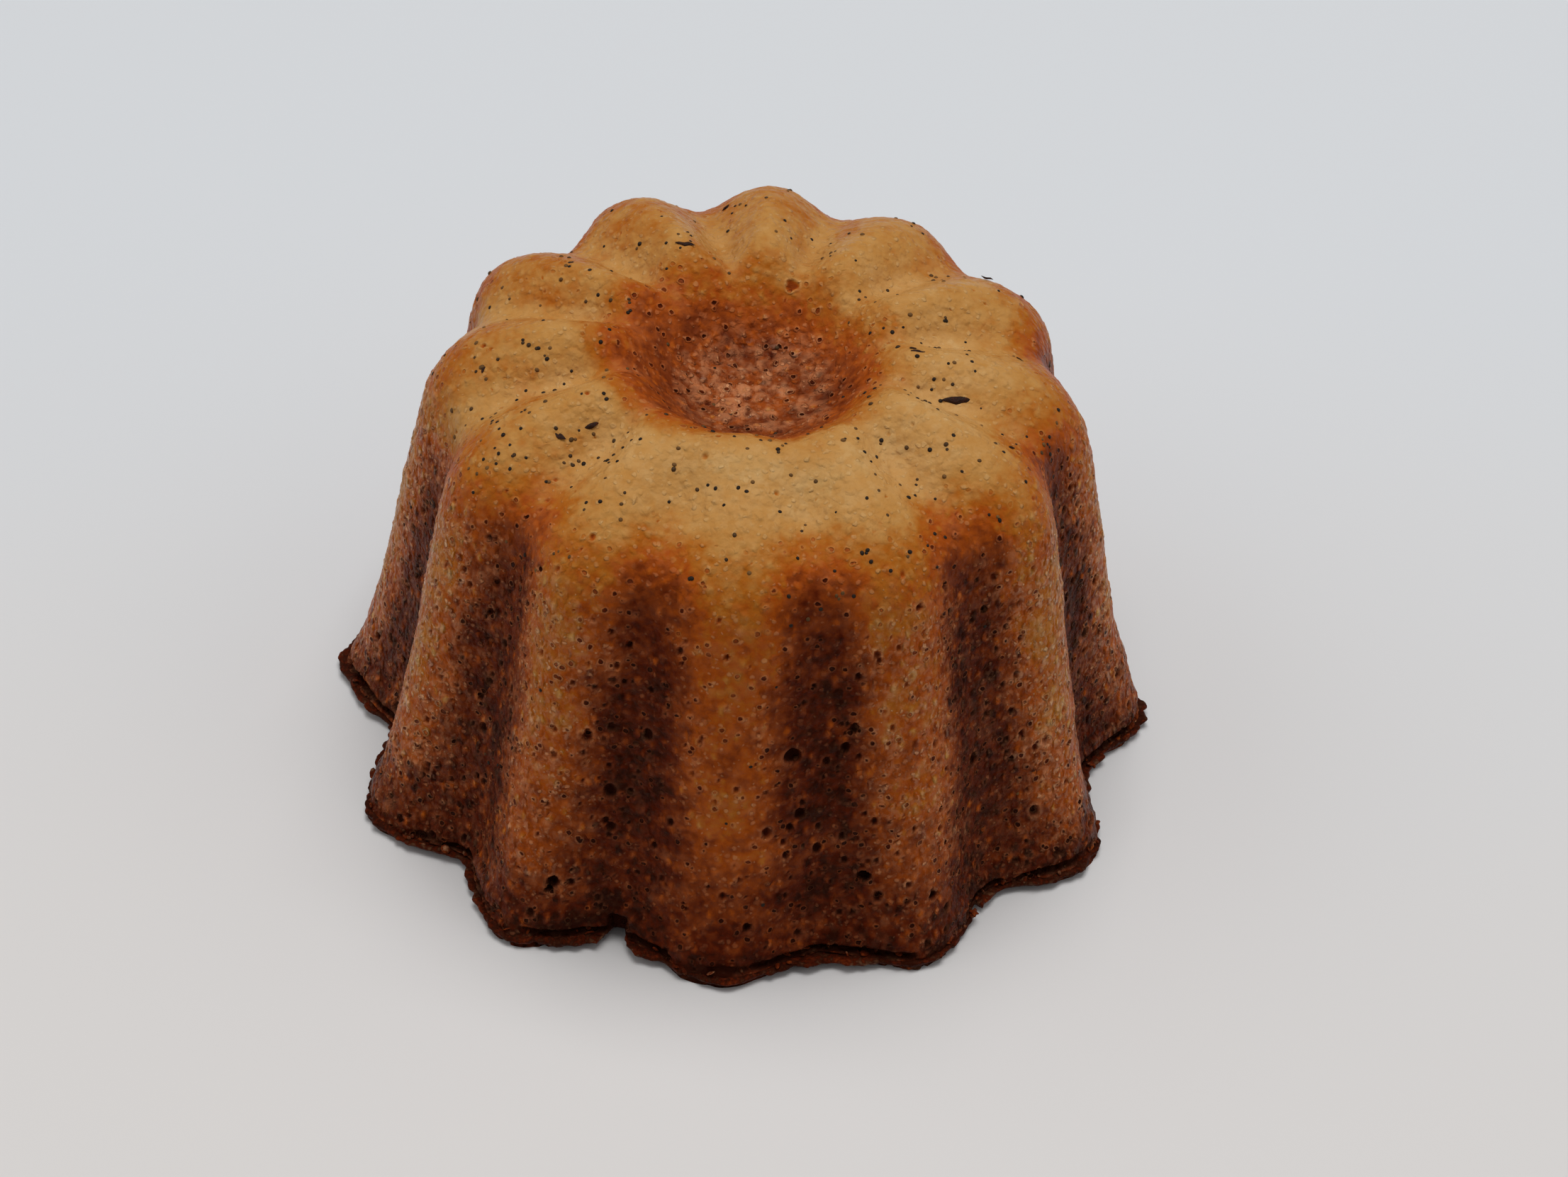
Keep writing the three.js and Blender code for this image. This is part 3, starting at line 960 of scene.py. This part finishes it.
class CANELE_OT_lip(Operator):
    """Make the thin ragged lip that batter left round the foot of the mould"""

    bl_idname = "canele.lip"
    bl_label = "Lip"

    columns = 1440
    loop = 22
    foot_row = 4
    tucked_in = 1.1 * MM
    thickness = 0.23
    curl_height = 0.22 * MM
    crumb_height = 0.09 * MM

    def edge_line(self, foot_radius):
        """The lip round the cake, one value a column: the way out, the wall's radius, how far
        the lip reaches past it, how thick it is and how far it curls. It reaches further at a
        groove than at a crest, less so on the flanks, and the gap and the nick cut it back."""
        skin = current_skin()
        column = np.arange(self.columns) * COLUMNS / self.columns
        low = np.floor(column).astype(int) % COLUMNS
        high = (low + 1) % COLUMNS
        part = (column - np.floor(column))[:, None]
        points, swell = skin["points"][self.foot_row], skin["swell"][self.foot_row]
        out = mix(points[low], points[high], part) - AXIS
        swell = mix(swell[low], swell[high], part[:, 0])
        out[:, 2] = 0
        angle = np.arctan2(out[:, 1], out[:, 0])
        wall = np.linalg.norm(out, axis=1)
        out = out / wall[:, None]
        ring = out * foot_radius

        ragged = 0.24 * MM * noise(ring, 2.4 * MM, 41) + 0.22 * MM * noise(ring, 0.9 * MM, 42)
        ragged += 0.12 * MM * noise(ring, 0.4 * MM, 43)
        sideways = np.sin(angle - FLUTE_0_ANGLE) ** 2
        at_groove, at_crest = mix(0.85, 0.6, sideways), mix(0.25, 0.4, sideways)
        reach = mix(at_groove, at_crest, smoothstep(swell, 0.1, 0.8)) * MM + ragged
        wavering = 0.15 * MM * noise(ring, 0.5 * MM, 44)
        for place, width, back in ((GAP, GAP_WIDTH, GAP_BACK), (NICK, NICK_WIDTH, NICK_BACK)):
            aside = away_from(place, angle) * wall + wavering
            reach -= back * smoothstep(aside, 0.5 * width, 0.34 * width)
        thick = (self.thickness + 0.08 * noise(ring, 1.6 * MM, 45) + 0.06 * noise(ring, 0.5 * MM, 46)) * MM
        return out, wall, reach, thick, self.curl_height * noise(ring, 2.3 * MM, 47)

    def execute(self, context):
        groups = context.scene
        out, wall, reach, thick, curl = self.edge_line(groups.canele_crest.foot_radius)
        turn = (np.arange(self.loop) / self.loop * 2 * pi)[:, None]
        across = np.sign(np.cos(turn)) * np.abs(np.cos(turn)) ** 0.7
        up = np.sign(np.sin(turn)) * np.abs(np.sin(turn)) ** 0.8
        inner = wall - self.tucked_in
        outer = wall + reach
        radius = (inner + outer) / 2 + (outer - inner) / 2 * across
        outwards = np.clip((radius - wall) / (1.3 * MM), 0, 1)
        points = AXIS + out[None] * radius[..., None]
        points[..., 2] = mix(0.50, 0.78, outwards) * MM + thick * up + curl * outwards
        crumbly = noise(points, 0.45 * MM, 48) + 0.6 * noise(points, 0.22 * MM, 49)
        points[..., 2] += self.crumb_height * crumbly * (up > -0.5)
        points[..., :2] += self.crumb_height * (crumbly * (outwards > 0.1))[..., None] * out[None, :, :2]
        points[..., 2] = np.maximum(points[..., 2], LOWEST)
        # Edge: how far towards the outer rim, where the lip's colour gets its painted highlight.
        edge = outwards * (0.5 + 0.5 * noise(points, 1.5 * MM, 50)) + 0.4 * outwards * crumbly

        index = np.arange(self.loop * self.columns).reshape(self.loop, self.columns)
        above = np.roll(index, -1, axis=0)
        faces = np.stack([index, np.roll(index, -1, 1), np.roll(above, -1, 1), above], axis=-1)
        piece = mesh_piece(
            "lip", points.reshape(-1, 3), [faces.reshape(-1, 4)], {"edge": np.clip(edge, 0, 1)},
            lip_material(groups.canele_colours),
        )
        belongs(piece, True)
        return {"FINISHED"}


def ball(rings, columns):
    """A unit ball as points and faces: rings between two poles."""
    lift = (np.arange(1, rings) / rings * pi)[:, None]
    turn = (np.arange(columns) / columns * 2 * pi)[None]
    height = -np.cos(lift) + 0 * turn
    side = np.stack([np.sin(lift) * np.cos(turn), np.sin(lift) * np.sin(turn), height], axis=-1)
    points = np.concatenate([side.reshape(-1, 3), [[0, 0, -1], [0, 0, 1]]])
    last = len(points) - 1
    faces = [
        ring_faces(rings - 1, columns),
        fan_faces((rings - 2) * columns, columns, last),
        fan_faces(0, columns, last - 1)[:, ::-1],
    ]
    return points, faces


def scattered(unit, faces, places, normals, along, sizes):
    """Copies of a unit shape: each is scaled by its three sizes, turned so that its third axis
    is its normal and its first lies near along, and moved to its place."""
    first = along - normals * np.sum(along * normals, axis=1, keepdims=True)
    first /= np.linalg.norm(first, axis=1, keepdims=True) + 1e-15
    second = np.cross(normals, first)
    turned = np.stack([first, second, normals], axis=1)
    points = places[:, None] + np.einsum("ijk,ikl->ijl", unit * sizes[:, None], turned)
    offsets = np.arange(len(places)) * unit.shape[-2]
    copies = [(block[None] + offsets[:, None, None]).reshape(-1, block.shape[1]) for block in faces]
    return points.reshape(-1, 3), copies


def roughened(points, reach, size, draws):
    """The points, each moved along the three axes by noise of this size, one draw an axis."""
    return points + reach * np.stack([noise(points, size, draw) for draw in draws], axis=-1)


# Where seeds lie in groups: degrees round the axis, out and up in millimetres, how many,
# and how far they spread.
SEED_GROUPS = (
    (-202, 8.9, 29.8, 3, 0.7), (118, 10.3, 30.9, 5, 1.0), (-174, 12.4, 29.7, 3, 0.8),
    (-174, 16.5, 28.5, 4, 0.6), (-147, 17.9, 28, 4, 1.1), (-136, 13.5, 28.4, 6, 1.0),
    (-129, 12.4, 29.4, 4, 1.1), (69, 10.4, 29.6, 4, 0.9),
    (20, 12.2, 29.4, 3, 0.8), (-22, 10.4, 29.9, 6, 1.1), (-67, 17.3, 27.8, 4, 0.5), (-37, 18.2, 27.3, 3, 0.6),
    (-58, 17.6, 27.9, 2, 0.4), (-12, 17.9, 26.7, 4, 0.9), (-100, 12.9, 29.1, 3, 1.4), (150, 14, 29, 4, 1.0),
    (95, 15, 28, 4, 0.9), (40, 15.5, 28, 5, 1.2),
)


class CANELE_OT_seeds(Operator):
    """Strew vanilla seeds over the top and shoulders, with a few on the wall and in the dimple"""

    bl_idname = "canele.seeds"
    bl_label = "Vanilla seeds"

    def execute(self, context):
        wanted = context.scene.canele_seeds
        skin = current_skin()
        draws = np.random.default_rng(wanted.draw)
        points, path = skin["points"], skin["path"] / MM
        size = np.linalg.norm(np.gradient(points, axis=0), axis=-1)
        size = size * np.linalg.norm(np.roll(points, -1, 1) - points, axis=-1)
        top = smoothstep(path, 25, 30) * smoothstep(path, 43, 40)
        clumps = np.clip(0.7 + 0.5 * noise(points, 4 * MM, 51), 0.05, 2)
        clumps = clumps * (0.4 + 0.6 * frontness(skin["angle"]))
        likely = size * clumps * (0.055 + top + 0.30 * smoothstep(path, 42, 46))
        likely = likely * (skin["pit"] < 0.05) * (path > 3)
        likely = (likely / likely.sum()).ravel()
        chosen = draws.choice(likely.size, wanted.seeds, replace=False, p=likely)
        near = []
        for degrees, out, up, count, spread in SEED_GROUPS:
            row, column = spot_at(points, degrees, out * MM, up * MM)
            gap = np.linalg.norm(points - points[row, column], axis=-1)
            likely = (size * np.exp(-((gap / (0.7 * spread * MM)) ** 2))).ravel()
            near.append(draws.choice(likely.size, count, replace=False, p=likely / likely.sum()))
        chosen = np.concatenate([chosen, *near])

        count = len(chosen)
        places = points.reshape(-1, 3)[chosen]
        normals = skin["normal"].reshape(-1, 3)[chosen]
        along = draws.normal(size=(count, 3))
        radius = wanted.seed_radius * draws.uniform(0.72, 1.18, (count, 1))
        shape = [draws.uniform(1, 1.22, count), np.ones(count), np.full(count, 0.8)]
        sizes = radius * np.stack(shape, axis=1)
        unit, faces = ball(6, 9)
        places = places - normals * radius * draws.uniform(0.0, 0.45, (count, 1))
        spread, copies = scattered(unit, faces, places, normals, along, sizes)
        veil = np.where(draws.uniform(size=count) < 0.5, draws.uniform(0.05, 0.35, count), 0.02)
        values = {"veil": np.repeat(veil, len(unit))}
        piece = mesh_piece("seeds", spread, copies, values, seed_material(context.scene.canele_colours))
        belongs(piece, False)
        return {"FINISHED"}


# Flecks of pod: degrees round the axis, out and up, length, width and thickness in
# millimetres, degrees that the fleck is turned from level, and how far its end stands up.
POD_FLECKS = (
    (120, 9.9, 30.9, 1.3, 0.30, 0.16, -8, 0), (-12, 12.2, 28.8, 1.7, 0.46, 0.2, 4, 0),
    (-142, 11.9, 29.5, 1.0, 0.30, 0.2, 30, 0), (-144, 13.9, 29.2, 0.8, 0.35, 0.12, -35, 0),
    (1, 9.6, 30, 0.9, 0.28, 0.14, 5, 0), (3, 9.3, 30, 0.5, 0.25, 0.12, 20, 0),
    (36, 17.3, 28, 0.8, 0.2, 0.12, 0, 0.25), (-174, 16.6, 28.5, 0.5, 0.22, 0.14, 60, 0),
    (-22, 16.2, 27.6, 0.6, 0.22, 0.14, 30, 0), (8, 16, 27.9, 0.7, 0.2, 0.12, -5, 0),
    (-95, 6.3, 28, 0.5, 0.2, 0.12, 0, 0), (100, 16, 28, 0.9, 0.3, 0.16, 15, 0),
)


class CANELE_OT_pod_flecks(Operator):
    """Lay the long dark flecks of vanilla pod on the top"""

    bl_idname = "canele.pod_flecks"
    bl_label = "Pod flecks"

    def execute(self, context):
        skin = current_skin()
        points = skin["points"]
        unit, faces = ball(10, 16)
        unit = unit * (1 - 0.5 * unit[:, :1] ** 2) ** np.array([0, 1, 1])
        places, normals, along, sizes = [], [], [], []
        for degrees, out, up, length, width, thickness, turned, lifted in POD_FLECKS:
            row, column = spot_at(points, degrees, out * MM, up * MM)
            normal = skin["normal"][row, column]
            level = np.array([cos(radians(turned)), sin(radians(turned)), 0])
            places.append(points[row, column] + normal * (lifted * 0.5 + 0.1 * thickness) * MM)
            normals.append(normal)
            along.append(level + np.array([0, 0, 2.0 * lifted]))
            sizes.append(np.array([length, width, thickness]) / 2 * MM)
        spread, copies = scattered(unit, faces, *[np.array(part) for part in (places, normals, along, sizes)])
        spread = roughened(spread, 0.09 * MM, 0.35 * MM, (61, 62, 63))
        material = pod_material(context.scene.canele_colours)
        belongs(mesh_piece("pod_flecks", spread, copies, {}, material), False)
        return {"FINISHED"}


class CANELE_OT_flakes(Operator):
    """Stick small flakes of crust along the lip and a few on the wall"""

    bl_idname = "canele.flakes"
    bl_label = "Crust flakes"

    def execute(self, context):
        wanted = context.scene.canele_seeds
        skin = current_skin()
        draws = np.random.default_rng(wanted.draw + 1)
        unit, faces = ball(5, 8)
        count = wanted.flakes
        column = draws.integers(0, COLUMNS, count)
        row = draws.integers(5, 13, count)
        places = skin["points"][row, column]
        normals = skin["normal"][row, column]
        swell = skin["swell"][row, column]
        places = places + normals * (draws.uniform(-0.1, 0.8, count) * (1 - swell) * MM)[:, None]
        places[:, 2] = draws.uniform(0.7, 1.05, count) * MM
        tipped = np.stack([np.zeros(count), np.zeros(count), np.ones(count)], axis=1)
        tipped = tipped + 0.5 * draws.normal(size=(count, 3))
        tipped /= np.linalg.norm(tipped, axis=1, keepdims=True)
        long = draws.uniform(0.15, 0.42, count)
        sizes = MM * np.stack([long, long * draws.uniform(0.4, 0.8, count), np.full(count, 0.07)], axis=1)
        spread, copies = scattered(unit, faces, places, tipped, draws.normal(size=(count, 3)), sizes)
        spread = roughened(spread, 0.05 * MM, 0.3 * MM, (64, 65, 66))
        spread[:, 2] = np.maximum(spread[:, 2], 0.05 * MM)
        values = {"edge": np.repeat(draws.uniform(0.3, 1.0, count), len(unit))}
        material = lip_material(context.scene.canele_colours)
        belongs(mesh_piece("crust_flakes", spread, copies, values, material), False)
        return {"FINISHED"}


def square_lamp(name, size, power, distance, from_direction):
    """A square soft lamp that shines on the cake from this direction."""
    lamp = bpy.data.lights.new(name, "AREA")
    lamp.shape = "SQUARE"
    lamp.size = size
    lamp.energy = power
    lamp_object = bpy.data.objects.new(name, lamp)
    toward = from_direction.normalized()
    lamp_object.location = toward * distance
    lamp_object.rotation_euler = toward.to_track_quat("Z", "Y").to_euler()
    bpy.context.scene.collection.objects.link(lamp_object)


class CANELE_OT_stage(Operator):
    """Lay the floor, light it softly from above and a little from the sides, and set the camera"""

    bl_idname = "canele.stage"
    bl_label = "Stage"

    target = Vector((2.31, -0.8, 9.98)) * MM
    lamp_from = Vector((0.04, 0.12, 1.0))
    left_lamp_from = Vector((-0.87, 0.0, 0.5))
    right_lamp_from = Vector((0.87, 0.0, 0.5))

    def execute(self, context):
        stage = context.scene.canele_stage
        half = stage.floor_size / 2
        mesh = bpy.data.meshes.new("floor")
        corners = [(-half, -half, 0), (half, -half, 0), (half, half, 0), (-half, half, 0)]
        mesh.from_pydata(corners, [], [(0, 1, 2, 3)])
        mesh.materials.append(floor_material(stage.floor_colour))
        floor = bpy.data.objects.new("floor", mesh)
        context.scene.collection.objects.link(floor)

        world = bpy.data.worlds.new("studio")
        world.use_nodes = True
        background = world.node_tree.nodes["Background"]
        background.inputs["Color"].default_value = solid(stage.world_colour)
        background.inputs["Strength"].default_value = stage.world_light
        context.scene.world = world

        square_lamp("soft_lamp", stage.lamp_size, stage.lamp_power, stage.lamp_distance, self.lamp_from)
        size, distance = stage.side_lamp_size, stage.side_lamp_distance
        square_lamp("left_lamp", size, stage.left_lamp_power, distance, self.left_lamp_from)
        square_lamp("right_lamp", size, stage.right_lamp_power, distance, self.right_lamp_from)

        lens = bpy.data.cameras.new("camera")
        lens.lens = stage.lens
        lens.sensor_width = 36
        lens.clip_start = 0.01
        lens.clip_end = 20
        elevation, roll = stage.camera_elevation, stage.camera_roll
        sight = Vector((0, cos(elevation), -sin(elevation)))
        right = Vector((1, 0, 0))
        up = Vector((0, sin(elevation), cos(elevation)))
        rolled_right = right * cos(roll) + up * sin(roll)
        rolled_up = up * cos(roll) - right * sin(roll)
        place = self.target - sight * stage.camera_distance
        camera = bpy.data.objects.new("camera", lens)
        columns = (rolled_right.to_4d(), rolled_up.to_4d(), (-sight).to_4d(), place.to_4d())
        matrix = Matrix(columns).transposed()
        matrix[3] = (0, 0, 0, 1)
        camera.matrix_world = matrix
        context.scene.collection.objects.link(camera)
        context.scene.camera = camera
        context.scene.view_settings.view_transform = "Standard"
        return {"FINISHED"}


PIECES = (
    CANELE_OT_skin, CANELE_OT_underside, CANELE_OT_lip, CANELE_OT_flakes, CANELE_OT_seeds,
    CANELE_OT_pod_flecks, CANELE_OT_stage,
)
GROUPS = {
    "canele_crest": CaneleCrest, "canele_valley": CaneleValley, "canele_dimple": CaneleDimple,
    "canele_relief": CaneleRelief, "canele_colours": CaneleColours, "canele_seeds": CaneleSeeds,
    "canele_stage": CaneleStage,
}


class CANELE_PT_panel(Panel):
    """The canele's pieces and stage, each with its own button"""

    bl_idname = "CANELE_PT_panel"
    bl_label = "Canele"
    bl_space_type = "VIEW_3D"
    bl_region_type = "UI"
    bl_category = "Canele"

    def draw(self, context):
        for operator in PIECES:
            self.layout.operator(operator.bl_idname)
        for name, group in GROUPS.items():
            box = self.layout.box()
            box.label(text=group.__doc__)
            for setting in group.__annotations__:
                box.prop(getattr(context.scene, name), setting)


def register():
    for name, group in GROUPS.items():
        bpy.utils.register_class(group)
        setattr(bpy.types.Scene, name, PointerProperty(type=group))
    for made in (*PIECES, CANELE_PT_panel):
        bpy.utils.register_class(made)


def unregister():
    for made in (CANELE_PT_panel, *reversed(PIECES)):
        bpy.utils.unregister_class(made)
    for name, group in GROUPS.items():
        delattr(bpy.types.Scene, name)
        bpy.utils.unregister_class(group)


def main():
    register()
    bpy.ops.canele.skin()
    bpy.ops.canele.underside()
    bpy.ops.canele.lip()
    bpy.ops.canele.flakes()
    bpy.ops.canele.seeds()
    bpy.ops.canele.pod_flecks()
    bpy.ops.canele.stage()


if __name__ == "__main__":
    main()
